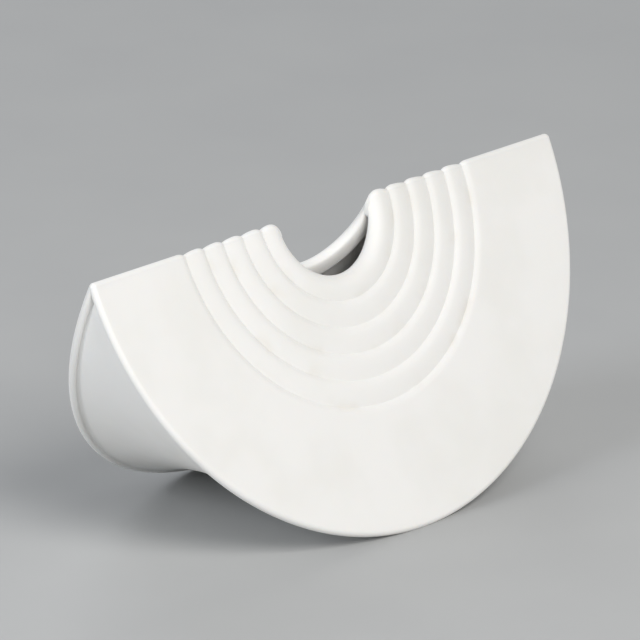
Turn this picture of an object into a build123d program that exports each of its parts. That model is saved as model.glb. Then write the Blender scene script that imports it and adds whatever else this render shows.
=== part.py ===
from build123d import *
import os
from math import cos, radians, sin

# A porcelain vase of two half-disc leaves that lean together under a rounded ridge.
# X runs along the ridge, -Y is the front, Z is up and Z = 0 is the surface it stands on.
# Lengths are in millimetres and angles in degrees.

# Leaves
LEAF_RADIUS = 115.0
LEAF_LEAN = 25.3
LEAF_WALL = 3.6

# Mouth and the terraced rings around it
MOUTH_RADIUS = 21.5
LIP_ROUND = 5.5
LIP_ROLL = 5.0
LIP_UNDER = 1.6
LIP_FALL = 4.7
RING_PITCH = 9.45
RING_RISE = 3.0
RING_DEPTH = 0.85
GROOVE_COUNT = 5

# Waist wall between the two rims
WAIST_WALL = 3.4
WAIST_HOLLOW = 7.5
RIM_STEP = 0.4

# Flat ground under each rim
FOOT_GRIND = 0.4

# Places worked out from the sizes
lean = radians(LEAF_LEAN)
nose = LEAF_WALL / 2
first_groove = MOUTH_RADIUS + LIP_ROUND + LIP_FALL
last_groove = first_groove + (GROOVE_COUNT - 1) * RING_PITCH
ridge_height = (LEAF_RADIUS - nose) * cos(lean) + nose - FOOT_GRIND
ridge_centre = Vector(0, 0, ridge_height)
outward = Vector(0, -cos(lean), sin(lean))
down_leaf = Vector(0, -sin(lean), -cos(lean))
profile_plane = Plane(origin=ridge_centre, x_dir=(1, 0, 0), z_dir=down_leaf)
leaf_axis = Axis(ridge_centre, -outward)
ridge_axis = Axis(ridge_centre, (-1, 0, 0))
ridge_arc = 180 - 2 * LEAF_LEAN
inner_front = Plane(origin=ridge_centre - outward * nose, x_dir=(1, 0, 0), z_dir=outward)
inner_rear = Plane(
    origin=(0, -nose * cos(lean), ridge_height - nose * sin(lean)),
    x_dir=(1, 0, 0),
    z_dir=(0, cos(lean), sin(lean)),
)
joint_radius = LEAF_RADIUS - nose - RIM_STEP
joint_depth = joint_radius * sin(lean) - nose * cos(lean)
joint_drop = joint_radius * cos(lean)


def lip_profile():
    """Section of the lip: rolled inward at the mouth, falling outside to the first groove."""
    roll_centre = (MOUTH_RADIUS + LIP_ROUND, nose - LIP_ROLL)
    crest = (MOUTH_RADIUS + LIP_ROUND, nose)
    root = (MOUTH_RADIUS + LIP_ROUND, nose - LIP_ROLL - LIP_UNDER)
    groove = (first_groove, nose - RING_DEPTH)
    EllipticalCenterArc(roll_centre, LIP_ROUND, LIP_ROLL, start_angle=90, arc_size=90)
    EllipticalCenterArc(roll_centre, LIP_ROUND, LIP_UNDER, start_angle=180, arc_size=90)
    TangentArc(crest, groove, tangent=(1, 0))
    Line(groove, (first_groove, -nose))
    Line((first_groove, -nose), root)


def ring_profile():
    """Section from the first groove to the half-round rim, with a terrace for each ring."""
    for index in range(GROOVE_COUNT):
        groove_radius = first_groove + index * RING_PITCH
        crest = (groove_radius + RING_RISE, nose)
        TangentArc(crest, (groove_radius, nose - RING_DEPTH), tangent=(-1, 0))
        if index < GROOVE_COUNT - 1:
            TangentArc(crest, (groove_radius + RING_PITCH, nose - RING_DEPTH), tangent=(1, 0))
    rim = LEAF_RADIUS - nose
    Line((last_groove + RING_RISE, nose), (rim, nose))
    ThreePointArc((rim, nose), (LEAF_RADIUS, 0), (rim, -nose))
    Line((rim, -nose), (first_groove, -nose))
    Line((first_groove, -nose), (first_groove, nose - RING_DEPTH))


def section(profile, above_axis=False):
    """Face of one of the profiles, square to the front leaf: whole, or only above the ridge's axis."""
    with BuildSketch(profile_plane) as face:
        with BuildLine():
            profile()
        make_face()
        if above_axis:
            split(bisect_by=Plane.XZ, keep=Keep.BOTTOM)
    return face.sketch


def waist_sections(wall):
    """Ellipses across the waist at its front joint, half way and rear joint, set in by wall."""
    waist_drop = joint_drop - WAIST_HOLLOW
    stretch = joint_radius / waist_drop
    centre_height = ridge_height - nose * sin(lean)
    sections = []
    for depth, drop in ((-joint_depth, joint_drop), (0, waist_drop), (joint_depth, joint_drop)):
        with BuildSketch(Plane.XZ.offset(-depth)) as ellipse:
            with Locations((0, centre_height)):
                Ellipse(drop * stretch - wall, drop - wall)
        sections.append(ellipse.sketch)
    return sections


def waist_band():
    """The drawn-in wall between the leaves: an elliptical band that narrows half way."""
    loft(waist_sections(0))
    loft(waist_sections(WAIST_WALL), mode=Mode.SUBTRACT)
    split(bisect_by=inner_front, keep=Keep.BOTTOM)
    split(bisect_by=inner_rear, keep=Keep.BOTTOM)


# Front leaf: a half-disc with its rings, mitred where it meets the rear leaf
with BuildPart() as front_leaf:
    revolve(section(ring_profile), axis=leaf_axis, revolution_arc=180)
    split(bisect_by=Plane.XZ, keep=Keep.TOP)
    split(bisect_by=Plane.XY, keep=Keep.TOP)

# Rear leaf: the same half-disc, leaning the other way
with BuildPart() as rear_leaf:
    mirror(front_leaf.part, about=Plane.XZ)

# Ridge: the rounded seam that closes the leaves on each side of the mouth
with BuildPart() as ridge_right:
    revolve(section(ring_profile, above_axis=True), axis=ridge_axis, revolution_arc=ridge_arc)

with BuildPart() as ridge_left:
    mirror(ridge_right.part, about=Plane.YZ)

# Mouth collar: the rolled lip, a saddle-shaped ring over the ridge
with BuildPart() as mouth_collar:
    revolve(section(lip_profile), axis=leaf_axis, revolution_arc=180)
    split(bisect_by=Plane.XZ, keep=Keep.TOP)
    mirror(about=Plane.XZ)
    revolve(section(lip_profile, above_axis=True), axis=ridge_axis, revolution_arc=ridge_arc)
    mirror(about=Plane.YZ)

# Waist wall, in two lengths that butt at the bottom
with BuildPart() as waist_left:
    waist_band()
    split(bisect_by=Plane.YZ, keep=Keep.BOTTOM)

with BuildPart() as waist_right:
    waist_band()
    split(bisect_by=Plane.YZ, keep=Keep.TOP)

os.makedirs("parts", exist_ok=True)
front_leaf.part.label = "front_leaf"
export_step(front_leaf.part, "parts/front_leaf.step")
rear_leaf.part.label = "rear_leaf"
export_step(rear_leaf.part, "parts/rear_leaf.step")
ridge_left.part.label = "ridge_left"
export_step(ridge_left.part, "parts/ridge_left.step")
ridge_right.part.label = "ridge_right"
export_step(ridge_right.part, "parts/ridge_right.step")
mouth_collar.part.label = "mouth_collar"
export_step(mouth_collar.part, "parts/mouth_collar.step")
waist_left.part.label = "waist_left"
export_step(waist_left.part, "parts/waist_left.step")
waist_right.part.label = "waist_right"
export_step(waist_right.part, "parts/waist_right.step")
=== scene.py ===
"""White bisque porcelain vase: half-disc leaves that lean together under a ridge, with a mouth in it."""

import logging
from dataclasses import dataclass, field
from enum import Enum
from math import cos, pi, radians, sin, sqrt, tan

import bmesh
import bpy
from mathutils import Matrix, Vector


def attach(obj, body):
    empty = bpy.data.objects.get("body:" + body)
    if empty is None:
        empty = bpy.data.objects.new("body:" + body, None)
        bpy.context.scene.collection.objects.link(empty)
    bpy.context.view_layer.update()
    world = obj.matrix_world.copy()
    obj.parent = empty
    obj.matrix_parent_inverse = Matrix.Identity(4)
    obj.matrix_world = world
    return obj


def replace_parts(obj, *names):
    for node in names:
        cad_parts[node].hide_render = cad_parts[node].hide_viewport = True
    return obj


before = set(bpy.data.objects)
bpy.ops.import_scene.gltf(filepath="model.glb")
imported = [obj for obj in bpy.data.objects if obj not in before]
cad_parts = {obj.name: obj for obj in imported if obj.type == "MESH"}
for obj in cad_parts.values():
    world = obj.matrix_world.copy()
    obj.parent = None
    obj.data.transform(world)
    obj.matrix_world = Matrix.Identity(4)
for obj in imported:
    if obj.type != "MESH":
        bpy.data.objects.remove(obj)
log = logging.getLogger("vase")

MM = 0.001
WELD = 0.002 * MM
SHARP = radians(40)
MIX_FIRST, MIX_SECOND, MIX_RESULT = 6, 7, 2
Point = tuple[float, float, float]
Face = tuple[int, ...]


class Side(Enum):
    """Which leaf a form belongs to, as the sign of its Y."""

    FRONT = -1
    REAR = 1


class Hand(Enum):
    """Which half along the ridge a form belongs to, as the sign of its X."""

    LEFT = -1
    RIGHT = 1


def srgb(hex_colour: str) -> tuple[float, float, float, float]:
    """Turn an sRGB hex colour to linear.

    Args:
        hex_colour: six hex digits, such as "f1efe9".

    Returns:
        Linear red, green, blue and an alpha of 1.
    """
    channels = [int(hex_colour[i:i + 2], 16) / 255 for i in (0, 2, 4)]
    linear = [c / 12.92 if c <= 0.04045 else ((c + 0.055) / 1.055) ** 2.4 for c in channels]
    return (*linear, 1.0)


def add_node(tree: bpy.types.NodeTree, kind: str, links: dict | None = None, **settings) -> bpy.types.Node:
    """Add a shader node with its settings and its incoming links.

    Args:
        tree: the node tree to add to.
        kind: the node's type name.
        links: input socket name or index to the output socket that feeds it.
        **settings: node properties, or socket values where the name is an input's.

    Returns:
        The new node.
    """
    node = tree.nodes.new(kind)
    for name, value in settings.items():
        label = name.replace("_", " ").title()
        if hasattr(node, name):
            setattr(node, name, value)
        else:
            node.inputs[label].default_value = value
    for name, source in (links or {}).items():
        tree.links.new(source, node.inputs[name])
    return node


@dataclass(frozen=True)
class BisquePorcelain:
    """Unglazed porcelain, fired white and rubbed smooth: a dry, even white with a soft edge to its light.

    The clay body lets a little light in, so shadows stay pale.
    A warmer, darker tone is painted in patches into the grooves as painted shade.
    """

    body: str = "f3f2ef"
    cloud: str = "efeeea"
    # painted shade: the warmer, darker tone laid into the groove hollows
    painted_groove_shade: str = "cfc3a8"
    roughness: float = 0.62
    roughness_below: float = 0.05
    roughness_above: float = 0.06
    ior: float = 1.5
    light_inside: float = 0.12
    light_reach_mm: float = 1.2
    light_tint: Point = (1.0, 0.8, 0.6)
    cloud_mm: float = 38.0
    cloud_span: tuple[float, float] = (0.42, 0.68)
    groove_shade_patch_mm: float = 16.0
    groove_shade_patch_span: tuple[float, float] = (0.52, 0.72)
    groove_shade_share: float = 0.2
    grain_mm: float = 0.9
    pore_mm: float = 5.5
    pore_edge: float = 0.055
    relief_strength: float = 0.1
    relief_mm: float = 0.12

    def build(self) -> bpy.types.Material:
        """Make the material.

        Returns:
            The bisque porcelain material, in object coordinates.
        """
        material = bpy.data.materials.new("bisque_porcelain")
        material.use_nodes = True
        tree = material.node_tree
        shader = tree.nodes["Principled BSDF"]
        shader.inputs["IOR"].default_value = self.ior
        shader.inputs["Subsurface Weight"].default_value = self.light_inside
        shader.inputs["Subsurface Radius"].default_value = self.light_tint
        shader.inputs["Subsurface Scale"].default_value = self.light_reach_mm * MM
        place = add_node(tree, "ShaderNodeTexCoord").outputs["Object"]
        cloud = self.noise(tree, place, self.cloud_mm, 3.0)
        tree.links.new(self.tone(tree, place, cloud), shader.inputs["Base Color"])
        rough = add_node(tree, "ShaderNodeMapRange", {"Value": cloud})
        rough.inputs["To Min"].default_value = self.roughness - self.roughness_below
        rough.inputs["To Max"].default_value = self.roughness + self.roughness_above
        tree.links.new(rough.outputs["Result"], shader.inputs["Roughness"])
        tree.links.new(self.relief(tree, place), shader.inputs["Normal"])
        return material

    def tone(
        self, tree: bpy.types.NodeTree, place: bpy.types.NodeSocket, cloud: bpy.types.NodeSocket
    ) -> bpy.types.NodeSocket:
        """Colour of the clay: faint clouds in the white, and painted shade, a warmer darker tone, in
        patches of the grooves.

        Args:
            tree: the node tree to add to.
            place: the coordinates that the patches follow.
            cloud: the clouds' value.

        Returns:
            The colour.
        """
        share = self.ramp(tree, cloud, *self.cloud_span)
        colour = add_node(tree, "ShaderNodeMix", {"Factor": share}, data_type="RGBA")
        colour.inputs[MIX_FIRST].default_value = srgb(self.body)
        colour.inputs[MIX_SECOND].default_value = srgb(self.cloud)
        # painted shade in the grooves: groove depth times noise patches mixes in the darker tone
        hollow = add_node(tree, "ShaderNodeAttribute", attribute_name="hollow").outputs["Fac"]
        patch = self.ramp(tree, self.noise(tree, place, self.groove_shade_patch_mm, 2.0), *self.groove_shade_patch_span)
        painted_groove_shade = add_node(tree, "ShaderNodeMath", {0: hollow, 1: patch}, operation="MULTIPLY")
        faint = add_node(tree, "ShaderNodeMath", {0: painted_groove_shade.outputs[0]}, operation="MULTIPLY")
        faint.inputs[1].default_value = self.groove_shade_share
        links = {"Factor": faint.outputs[0], MIX_FIRST: colour.outputs[MIX_RESULT]}
        groove_shaded = add_node(tree, "ShaderNodeMix", links, data_type="RGBA")
        groove_shaded.inputs[MIX_SECOND].default_value = srgb(self.painted_groove_shade)
        return groove_shaded.outputs[MIX_RESULT]

    def relief(self, tree: bpy.types.NodeTree, place: bpy.types.NodeSocket) -> bpy.types.NodeSocket:
        """Fine grain of the dry surface, with a few pinhole pores.

        Args:
            tree: the node tree to add to.
            place: the coordinates that the grain follows.

        Returns:
            The bumped normal.
        """
        grain = self.noise(tree, place, self.grain_mm, 4.0)
        cells = add_node(tree, "ShaderNodeTexVoronoi", {"Vector": place}, scale=1 / (self.pore_mm * MM))
        pore = self.ramp(tree, cells.outputs["Distance"], 0.0, self.pore_edge)
        height = add_node(tree, "ShaderNodeMath", {0: grain, 1: pore}, operation="MULTIPLY").outputs[0]
        bump = add_node(
            tree, "ShaderNodeBump", {"Height": height},
            strength=self.relief_strength, distance=self.relief_mm * MM)
        return bump.outputs["Normal"]

    def noise(
        self, tree: bpy.types.NodeTree, place: bpy.types.NodeSocket, size_mm: float, detail: float
    ) -> bpy.types.NodeSocket:
        """Noise whose blotches are about size_mm across.

        Args:
            tree: the node tree to add to.
            place: the coordinates that the noise follows.
            size_mm: the width of a blotch.
            detail: how many finer layers it has.

        Returns:
            The noise's value.
        """
        scale = 1 / (size_mm * MM)
        node = add_node(tree, "ShaderNodeTexNoise", {"Vector": place}, scale=scale, detail=detail)
        return node.outputs["Fac"]

    def ramp(
        self, tree: bpy.types.NodeTree, value: bpy.types.NodeSocket, low: float, high: float
    ) -> bpy.types.NodeSocket:
        """Stretch the values from low to high over 0 to 1.

        Args:
            tree: the node tree to add to.
            value: the socket to stretch.
            low: the value that becomes 0.
            high: the value that becomes 1.

        Returns:
            The stretched value.
        """
        node = add_node(tree, "ShaderNodeMapRange", {"Value": value}, interpolation_type="SMOOTHSTEP")
        node.inputs["From Min"].default_value = low
        node.inputs["From Max"].default_value = high
        return node.outputs["Result"]


@dataclass(frozen=True)
class PaleFloor:
    """Matt painted board: an even pale grey with a faint mottle."""

    light: str = "b9bab9"
    dark: str = "b3b4b4"
    mottle_mm: float = 60.0
    roughness: float = 0.85

    def build(self) -> bpy.types.Material:
        """Make the material.

        Returns:
            The floor's material.
        """
        material = bpy.data.materials.new("pale_board")
        material.use_nodes = True
        tree = material.node_tree
        shader = tree.nodes["Principled BSDF"]
        shader.inputs["Roughness"].default_value = self.roughness
        place = add_node(tree, "ShaderNodeTexCoord").outputs["Object"]
        mottle = add_node(tree, "ShaderNodeTexNoise", {"Vector": place}, scale=1 / (self.mottle_mm * MM))
        colour = add_node(tree, "ShaderNodeMix", {"Factor": mottle.outputs["Fac"]}, data_type="RGBA")
        colour.inputs[MIX_FIRST].default_value = srgb(self.light)
        colour.inputs[MIX_SECOND].default_value = srgb(self.dark)
        tree.links.new(colour.outputs[MIX_RESULT], shader.inputs["Base Color"])
        return material


@dataclass(frozen=True)
class VaseForm:
    """Sizes of the vase, in metres and radians, and the places worked out from them."""

    leaf_radius: float = 115.0 * MM
    lean: float = radians(25.3)
    leaf_wall: float = 3.6 * MM
    mouth_radius: float = 21.5 * MM
    lip_round: float = 5.5 * MM
    lip_roll: float = 5.0 * MM
    lip_under: float = 1.6 * MM
    lip_fall: float = 4.7 * MM
    ring_pitch: float = 9.45 * MM
    ring_rise: float = 3.0 * MM
    ring_depth: float = 0.85 * MM
    groove_count: int = 5
    waist_wall: float = 3.4 * MM
    waist_hollow: float = 7.5 * MM
    rim_step: float = 0.4 * MM
    foot_grind: float = 0.4 * MM
    tip_steps: int = 24
    under_steps: int = 12
    fall_steps: int = 12
    ring_rise_steps: int = 8
    ring_fall_steps: int = 14
    flat_steps: int = 14
    rim_steps: int = 10
    inside_steps: int = 30

    @property
    def nose(self) -> float:
        """Radius of the rounded rims, lip and ridge."""
        return self.leaf_wall / 2

    @property
    def first_groove(self) -> float:
        """Radius of the groove next to the lip."""
        return self.mouth_radius + self.lip_round + self.lip_fall

    @property
    def ridge_height(self) -> float:
        """Height of the ridge's axis."""
        return (self.leaf_radius - self.nose) * cos(self.lean) + self.nose - self.foot_grind

    def arc(self, start: Point, end: Point, steps: int) -> list[Point]:
        """Curve between a crest and a groove, level at the crest.

        Args:
            start: radius, height and depth share at the start.
            end: the same at the end; the higher of the two is the crest.
            steps: how many points to give, the start left out.

        Returns:
            Points along the curve.
        """
        run, drop = abs(end[0] - start[0]), abs(end[1] - start[1])
        bend = (run * run + drop * drop) / (2 * drop)
        crest = start if start[1] > end[1] else end
        points = []
        for i in range(1, steps + 1):
            radius = start[0] + (end[0] - start[0]) * i / steps
            away = radius - crest[0]
            fall = bend - sqrt(max(bend * bend - away * away, 0.0))
            points.append((radius, crest[1] - fall, fall / self.ring_depth))
        return points

    def round_end(self, centre: float, start: float, end: float, steps: int) -> list[Point]:
        """Part of a half-round edge.

        Args:
            centre: radius at which the rounding's centre lies.
            start: angle at the start, 0 pointing away from the mouth.
            end: angle at the end.
            steps: how many points to give, the start left out.

        Returns:
            Points along the rounding.
        """
        angles = [start + (end - start) * i / steps for i in range(1, steps + 1)]
        return [(centre + self.nose * cos(a), self.nose * sin(a), 0.0) for a in angles]

    def level(self, start: float, end: float, height: float, steps: int) -> list[Point]:
        """Straight run of the section at one height.

        Args:
            start: radius at the start.
            end: radius at the end.
            height: the run's height in the section.
            steps: how many points to give, the start left out.

        Returns:
            Points along the run.
        """
        return [(start + (end - start) * i / steps, height, 0.0) for i in range(1, steps + 1)]

    def lip_section(self) -> tuple[list[Point], list[Point]]:
        """Section of the collar.

        Returns:
            The outer line from the rolled tip to the first groove, and the inner line back to the tip.
        """
        crest = (self.mouth_radius + self.lip_round, self.nose, 0.0)
        middle = self.nose - self.lip_roll
        outer = [
            (crest[0] + self.lip_round * cos(a), middle + self.lip_roll * sin(a), 0.0)
            for a in (pi - pi / 2 * i / self.tip_steps for i in range(self.tip_steps + 1))
        ]
        outer += self.arc(crest, (self.first_groove, self.nose - self.ring_depth, 1.0), self.fall_steps)
        inner = [(self.first_groove, -self.nose, 0.0)]
        inner += [
            (crest[0] + self.lip_round * cos(a), middle + self.lip_under * sin(a), 0.0)
            for a in (3 * pi / 2 - pi / 2 * i / self.under_steps for i in range(self.under_steps))
        ]
        return outer, inner

    def leaf_section(self) -> tuple[list[Point], list[Point]]:
        """Section of a leaf.

        Returns:
            The outer line from the first groove to the rim's tip, and the inner line back.
        """
        low = self.nose - self.ring_depth
        outer = [(self.first_groove, low, 1.0)]
        for index in range(self.groove_count):
            groove = (self.first_groove + index * self.ring_pitch, low, 1.0)
            crest = (groove[0] + self.ring_rise, self.nose, 0.0)
            outer += self.arc(groove, crest, self.ring_rise_steps)
            if index < self.groove_count - 1:
                following = (groove[0] + self.ring_pitch, low, 1.0)
                outer += self.arc(crest, following, self.ring_fall_steps)
        rim = self.leaf_radius - self.nose
        outer += self.level(outer[-1][0], rim, self.nose, self.flat_steps)
        outer += self.round_end(rim, pi / 2, 0.0, self.rim_steps)
        inner = self.round_end(rim, 0.0, -pi / 2, self.rim_steps)
        inner += self.level(rim, self.first_groove, -self.nose, self.inside_steps)
        return outer, inner


@dataclass
class Mesh:
    """Points, faces and groove depths of a piece while it is built."""

    points: list[Point] = field(default_factory=list)
    faces: list[Face] = field(default_factory=list)
    hollows: list[float] = field(default_factory=list)
    caps: list[Face] = field(default_factory=list)

    def add_ring(self, points: list[Point], hollows: list[float]) -> list[int]:
        """Add a row of points.

        Args:
            points: where they are.
            hollows: how deep in a groove each is, from 0 to 1.

        Returns:
            Their numbers.
        """
        start = len(self.points)
        self.points += points
        self.hollows += hollows
        return list(range(start, len(self.points)))

    def bridge(self, first: list[int], second: list[int], closed: bool) -> None:
        """Join two rows of points with faces.

        Args:
            first: the first row's numbers.
            second: the second row's.
            closed: whether each row is a loop.
        """
        count = len(first)
        for i in range(count if closed else count - 1):
            k = (i + 1) % count
            self.faces.append((first[i], first[k], second[k], second[i]))

    def cap(self, ring: list[int]) -> None:
        """Close an end with one face.

        Args:
            ring: the numbers of the points round the end.
        """
        self.caps.append(tuple(ring))

    def make(self, name: str, material: bpy.types.Material) -> bpy.types.Object:
        """Turn the points and faces to a piece of the vase.

        Args:
            name: the piece's name.
            material: its finish.

        Returns:
            The new object, riding on the vase's body.
        """
        mesh = bpy.data.meshes.new(name)
        mesh.from_pydata(self.points, [], self.faces + self.caps)
        attribute = mesh.attributes.new("hollow", "FLOAT", "POINT")
        attribute.data.foreach_set("value", self.hollows)
        mesh.materials.append(material)
        for index, polygon in enumerate(mesh.polygons):
            polygon.use_smooth = index < len(self.faces)
        mesh.validate()
        piece = bpy.data.objects.new(name, mesh)
        bpy.context.scene.collection.objects.link(piece)
        self.face_outward(piece)
        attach(piece, "root")
        log.info("%s: %d points", name, len(self.points))
        return piece

    def face_outward(self, piece: bpy.types.Object) -> None:
        """Weld points that coincide, turn every face's normal outward and keep corners sharp.

        Args:
            piece: the piece to mend.
        """
        shape = bmesh.new()
        shape.from_mesh(piece.data)
        bmesh.ops.remove_doubles(shape, verts=shape.verts, dist=WELD)
        bmesh.ops.dissolve_degenerate(shape, edges=shape.edges, dist=WELD)
        bmesh.ops.recalc_face_normals(shape, faces=shape.faces)
        for edge in shape.edges:
            if len(edge.link_faces) == 2 and edge.calc_face_angle() > SHARP:
                edge.smooth = False
        shape.to_mesh(piece.data)
        shape.free()


@dataclass
class Leaves:
    """The two leaves, the ridge between them and the mouth's collar, all swept from two sections."""

    form: VaseForm
    bisque: bpy.types.Material
    turn_steps: int = 180
    ridge_steps: int = 28
    valley_round: float = 1.9 * MM
    valley_fall: float = 1.2

    def on_leaf(self, point: Point, turn: float, side: Side) -> Point:
        """Place a section's point on a leaf.

        Args:
            point: radius and height in the section.
            turn: angle round the leaf, 0 at the ridge's right end and pi at its left end.
            side: the leaf.

        Returns:
            The place, kept on its own side of the ridge and above the ground foot.
        """
        form = self.form
        along, down = point[0] * cos(turn), point[0] * sin(turn)
        depth = down * sin(form.lean) + point[1] * cos(form.lean)
        height = form.ridge_height - down * cos(form.lean) + point[1] * sin(form.lean)
        return (along, side.value * max(depth, 0.0), max(height, 0.0))

    def on_ridge(self, point: Point, swing: float, hand: Hand) -> Point:
        """Place a section's point on the ridge.

        Args:
            point: radius and height in the section.
            swing: angle from straight up, negative to the front.
            hand: the end of the ridge.

        Returns:
            The place.
        """
        height = max(point[1], 0.0)
        return (
            hand.value * point[0],
            height * sin(swing),
            self.form.ridge_height + height * cos(swing),
        )

    def valley(self, height: float, free: float) -> tuple[float, float]:
        """How the rolled lips open out and sink where they meet below the ridge.

        Args:
            height: the point's height in the collar's section.
            free: how far the point would be from the middle plane, negative beyond it.

        Returns:
            How far the point moves out from the middle plane, and how far it sinks.
        """
        share = min((self.form.nose - height) / self.form.lip_roll, 1.0)
        kept = (free + sqrt(free * free + 4 * self.valley_round ** 2)) / 2
        return share * (kept - max(free, 0.0)), share * (kept - free) * self.valley_fall

    def on_collar(self, point: Point, turn: float, side: Side) -> Point:
        """Place a point of the collar's section on a leaf, rounded where the lips meet.

        Args:
            point: radius and height in the section.
            turn: angle round the leaf, 0 at the ridge's right end and pi at its left end.
            side: the leaf.

        Returns:
            The place.
        """
        lean = self.form.lean
        free = point[0] * sin(turn) * sin(lean) + point[1] * cos(lean)
        out, sink = self.valley(point[1], free)
        x, y, z = self.on_leaf(point, turn, side)
        return (x, y + side.value * out, z - sink)

    def build_leaf(self, side: Side) -> bpy.types.Object:
        """Make one leaf.

        Args:
            side: front or rear.

        Returns:
            The leaf, in the place of its CAD node.
        """
        outer, inner = self.form.leaf_section()
        section = outer + inner
        mesh = Mesh()
        rings = []
        for step in range(self.turn_steps + 1):
            turn = pi * step / self.turn_steps
            points = [self.on_leaf(p, turn, side) for p in section]
            rings.append(mesh.add_ring(points, [p[2] for p in section]))
        for first, second in zip(rings, rings[1:]):
            mesh.bridge(first, second, True)
        mesh.cap(rings[0])
        mesh.cap(rings[-1])
        node = f"{side.name.lower()}_leaf"
        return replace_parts(mesh.make(f"{node}_porcelain", self.bisque), node)

    def build_ridge(self, hand: Hand) -> bpy.types.Object:
        """Make the ridge on one side of the mouth.

        Args:
            hand: left or right.

        Returns:
            The ridge, in the place of its CAD node.
        """
        outer, _ = self.form.leaf_section()
        section = [(self.form.first_groove, 0.0, 0.0)] + outer
        mesh = Mesh()
        rings = []
        reach = pi / 2 - self.form.lean
        for step in range(self.ridge_steps + 1):
            swing = -reach + 2 * reach * step / self.ridge_steps
            points = [self.on_ridge(p, swing, hand) for p in section]
            rings.append(mesh.add_ring(points, [p[2] for p in section]))
        for first, second in zip(rings, rings[1:]):
            mesh.bridge(first, second, False)
        mesh.cap(rings[0])
        mesh.cap(rings[-1])
        node = f"ridge_{hand.name.lower()}"
        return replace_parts(mesh.make(f"{node}_porcelain", self.bisque), node)

    def build_collar(self) -> bpy.types.Object:
        """Make the mouth's collar, one loop over both leaves.

        Returns:
            The collar, in the place of its CAD node.
        """
        outer, inner = self.form.lip_section()
        section = outer + inner
        hollows = [p[2] for p in section]
        mesh = Mesh()
        rings = []
        reach = pi / 2 - self.form.lean
        for step in range(self.turn_steps + 1):
            turn = pi * step / self.turn_steps
            points = [self.on_collar(p, turn, Side.FRONT) for p in section]
            rings.append(mesh.add_ring(points, hollows))
        rings += self.collar_turns(mesh, section, -reach, reach, Hand.LEFT)
        for step in range(self.turn_steps + 1):
            turn = pi - pi * step / self.turn_steps
            points = [self.on_collar(p, turn, Side.REAR) for p in section]
            rings.append(mesh.add_ring(points, hollows))
        rings += self.collar_turns(mesh, section, reach, -reach, Hand.RIGHT)
        for first, second in zip(rings, rings[1:] + rings[:1]):
            mesh.bridge(first, second, True)
        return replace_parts(mesh.make("mouth_collar_porcelain", self.bisque), "mouth_collar")

    def collar_turns(
        self, mesh: Mesh, section: list[Point], start: float, end: float, hand: Hand
    ) -> list[list[int]]:
        """Rows of the collar where it goes over the ridge.

        Args:
            mesh: the mesh to add to.
            section: the collar's section.
            start: swing at the first leaf.
            end: swing at the other leaf.
            hand: the end of the mouth.

        Returns:
            The rows, the two that lie on the leaves left out.
        """
        rings = []
        lean = self.form.lean
        for step in range(1, self.ridge_steps):
            swing = start + (end - start) * step / self.ridge_steps
            across = sin(swing) / cos(lean)
            points = []
            for p in section:
                x, y, z = self.on_ridge(p, swing, hand)
                out, sink = self.valley(p[1], p[1] * cos(lean))
                points.append((x, y + across * out, z + min(p[1], 0.0) * sin(lean) - sink))
            rings.append(mesh.add_ring(points, [p[2] for p in section]))
        return rings


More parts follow.
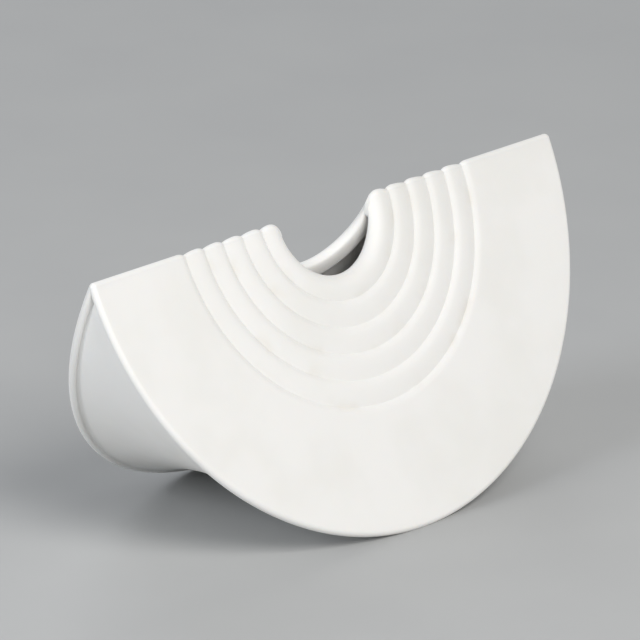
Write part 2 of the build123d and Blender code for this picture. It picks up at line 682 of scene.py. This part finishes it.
@dataclass
class Waist:
    """The drawn-in wall between the rims, in its left and right lengths."""

    form: VaseForm
    bisque: bpy.types.Material
    turn_steps: int = 96
    depth_steps: int = 36
    cove: float = 0.9 * MM
    cove_share: float = 0.3
    first_turn: float = radians(3.0)
    reach_tries: int = 30

    def reach(self, turn: float, wall: float) -> float:
        """Half the wall's width at one place round the waist.

        Args:
            turn: angle from the ridge, pi / 2 at the bottom.
            wall: how far inside the outer face to measure.

        Returns:
            The Y at which the face meets the leaf.
        """
        form = self.form
        inset = form.nose * cos(form.lean)
        half = 0.0
        for _ in range(self.reach_tries):
            half = max((self.drop(half) - wall) * sin(turn) * tan(form.lean) - inset, 0.0)
        return half

    def drop(self, depth: float) -> float:
        """How far below its centre the wall's outer face is at the bottom.

        Args:
            depth: the Y at which to measure.

        Returns:
            The drop.
        """
        form = self.form
        joint = form.leaf_radius - form.nose - form.rim_step
        edge = joint * sin(form.lean) - form.nose * cos(form.lean)
        return joint * cos(form.lean) - form.waist_hollow * (1 - (depth / edge) ** 2)

    def place(self, turn: float, depth: float, wall: float, flare: float) -> Point:
        """A point on one of the wall's faces.

        Args:
            turn: angle from the ridge, pi / 2 at the bottom.
            depth: its Y.
            wall: how far inside the outer face it is.
            flare: how far outside it is where the wall turns up to the rim.

        Returns:
            The place on the right half.
        """
        form = self.form
        joint = form.leaf_radius - form.nose - form.rim_step
        stretch = joint / self.drop(0.0)
        drop = self.drop(depth)
        centre = form.ridge_height - form.nose * sin(form.lean)
        out = flare - wall
        return ((drop * stretch + out) * cos(turn), depth, centre - (drop + out) * sin(turn))

    def face_row(self, turn: float, wall: float) -> list[Point]:
        """Points across the wall from the front leaf to the rear one.

        Args:
            turn: angle from the ridge.
            wall: 0 for the outer face, or the wall's thickness for the inner one.

        Returns:
            The row of points.
        """
        half = self.reach(turn, wall)
        cove = min(self.cove, self.cove_share * half) if wall == 0.0 else 0.0
        row = []
        for step in range(self.depth_steps + 1):
            depth = -half * cos(pi * step / self.depth_steps)
            gap = half - abs(depth)
            flare = cove - sqrt(cove * cove - (cove - gap) ** 2) if gap < cove else 0.0
            row.append(self.place(turn, depth, wall, flare))
        return row

    def build(self, hand: Hand) -> bpy.types.Object:
        """Make one length of the wall.

        Args:
            hand: left or right.

        Returns:
            The wall, in the place of its CAD node.
        """
        mesh = Mesh()
        rings = []
        for step in range(self.turn_steps + 1):
            turn = self.first_turn + (pi / 2 - self.first_turn) * step / self.turn_steps
            outer = self.face_row(turn, 0.0)
            inner = self.face_row(turn, self.form.waist_wall)
            loop = [(hand.value * x, y, z) for x, y, z in outer + inner[::-1]]
            rings.append(mesh.add_ring(loop, [0.0] * len(loop)))
        for first, second in zip(rings, rings[1:]):
            mesh.bridge(first, second, True)
        for ring in (rings[0], rings[-1]):
            mesh.bridge(ring[:self.depth_steps + 1], ring[:self.depth_steps:-1], False)
        node = f"waist_{hand.name.lower()}"
        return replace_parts(mesh.make(f"{node}_porcelain", self.bisque), node)


@dataclass(frozen=True)
class Lamp:
    """A square soft lamp that points at the vase."""

    name: str
    place: Point
    size: float
    power: float
    tint: str


@dataclass(frozen=True)
class Studio:
    """Floor, soft light and the camera at the photograph's viewing angle."""

    image_px: int = 640
    sensor_mm: float = 36.0
    focal_px: float = 11709.0
    distance: float = 4.087
    heading: float = radians(46.29)
    rise: float = radians(19.26)
    roll: float = radians(0.25)
    target: Point = (-1.5 * MM, 0.0, 64.3 * MM)
    sight_end: float = 50.0
    floor_half: float = 6.0
    floor_start: float = 3.0
    floor_bend: float = 1.0
    floor_steps: int = 16
    room_tint: str = "eef0f2"
    room_strength: float = 0.36
    lamps: tuple[Lamp, ...] = (
        Lamp("key", (-0.45, -1.5, 1.35), 0.9, 28.0, "fffdfb"),
        Lamp("side", (-1.6, 0.3, 0.7), 0.9, 13.0, "f4f8ff"),
        Lamp("rear", (0.9, 1.6, 1.2), 1.2, 11.0, "f8faff"),
    )

    def build_camera(self) -> None:
        """Make the camera and set it as the scene's."""
        back = Vector((
            -sin(self.heading) * cos(self.rise), -cos(self.heading) * cos(self.rise), sin(self.rise)))
        level = Vector((cos(self.heading), -sin(self.heading), 0.0))
        lift = back.cross(level)
        right = level * cos(self.roll) + lift * sin(self.roll)
        up = lift * cos(self.roll) - level * sin(self.roll)
        data = bpy.data.cameras.new("camera")
        data.sensor_width = self.sensor_mm
        data.lens = self.focal_px * self.sensor_mm / self.image_px
        data.clip_end = self.sight_end
        camera = bpy.data.objects.new("camera", data)
        turn = Matrix((right, up, back)).transposed().to_4x4()
        turn.translation = Vector(self.target) + back * self.distance
        camera.matrix_world = turn
        bpy.context.scene.collection.objects.link(camera)
        bpy.context.scene.camera = camera

    def build_floor(self) -> None:
        """Lay the floor, with a curved rise far behind."""
        half, start, bend = self.floor_half, self.floor_start, self.floor_bend
        line = [(-half, 0.0), (start, 0.0)]
        for i in range(1, self.floor_steps + 1):
            angle = pi / 2 * i / self.floor_steps
            line.append((start + bend * sin(angle), bend * (1 - cos(angle))))
        line.append((start + bend, half))
        points = [(x, y, z) for y, z in line for x in (-half, half)]
        faces = [(2 * i, 2 * i + 1, 2 * i + 3, 2 * i + 2) for i in range(len(line) - 1)]
        mesh = bpy.data.meshes.new("floor")
        mesh.from_pydata(points, [], faces)
        for polygon in mesh.polygons:
            polygon.use_smooth = True
        mesh.materials.append(PaleFloor().build())
        floor = bpy.data.objects.new("floor", mesh)
        floor.matrix_world = Matrix.Rotation(-self.heading, 4, "Z")
        bpy.context.scene.collection.objects.link(floor)

    def build_lamp(self, lamp: Lamp) -> None:
        """Hang one lamp and point it at the vase.

        Args:
            lamp: its place, size in metres, power in watts and sRGB tint.
        """
        data = bpy.data.lights.new(lamp.name, "AREA")
        data.size = lamp.size
        data.energy = lamp.power
        data.color = srgb(lamp.tint)[:3]
        hung = bpy.data.objects.new(lamp.name, data)
        hung.location = lamp.place
        aim = Vector(self.target) - Vector(lamp.place)
        hung.rotation_euler = aim.to_track_quat("-Z", "Y").to_euler()
        bpy.context.scene.collection.objects.link(hung)

    def build_light(self) -> None:
        """Set the room's even light and hang the lamps."""
        world = bpy.data.worlds.new("room")
        world.use_nodes = True
        background = world.node_tree.nodes["Background"]
        background.inputs["Color"].default_value = srgb(self.room_tint)
        background.inputs["Strength"].default_value = self.room_strength
        bpy.context.scene.world = world
        for lamp in self.lamps:
            self.build_lamp(lamp)


def main() -> None:
    """Build the vase's pieces in order, then the studio."""
    logging.basicConfig(level=logging.INFO, format="%(message)s")
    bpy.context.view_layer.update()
    bpy.context.scene.view_settings.view_transform = "Standard"
    studio = Studio()
    studio.build_camera()
    form = VaseForm()
    bisque = BisquePorcelain().build()
    leaves = Leaves(form, bisque)
    for side in Side:
        leaves.build_leaf(side)
    for hand in Hand:
        leaves.build_ridge(hand)
    leaves.build_collar()
    waist = Waist(form, bisque)
    for hand in Hand:
        waist.build(hand)
    studio.build_floor()
    studio.build_light()


if __name__ == "__main__":
    main()
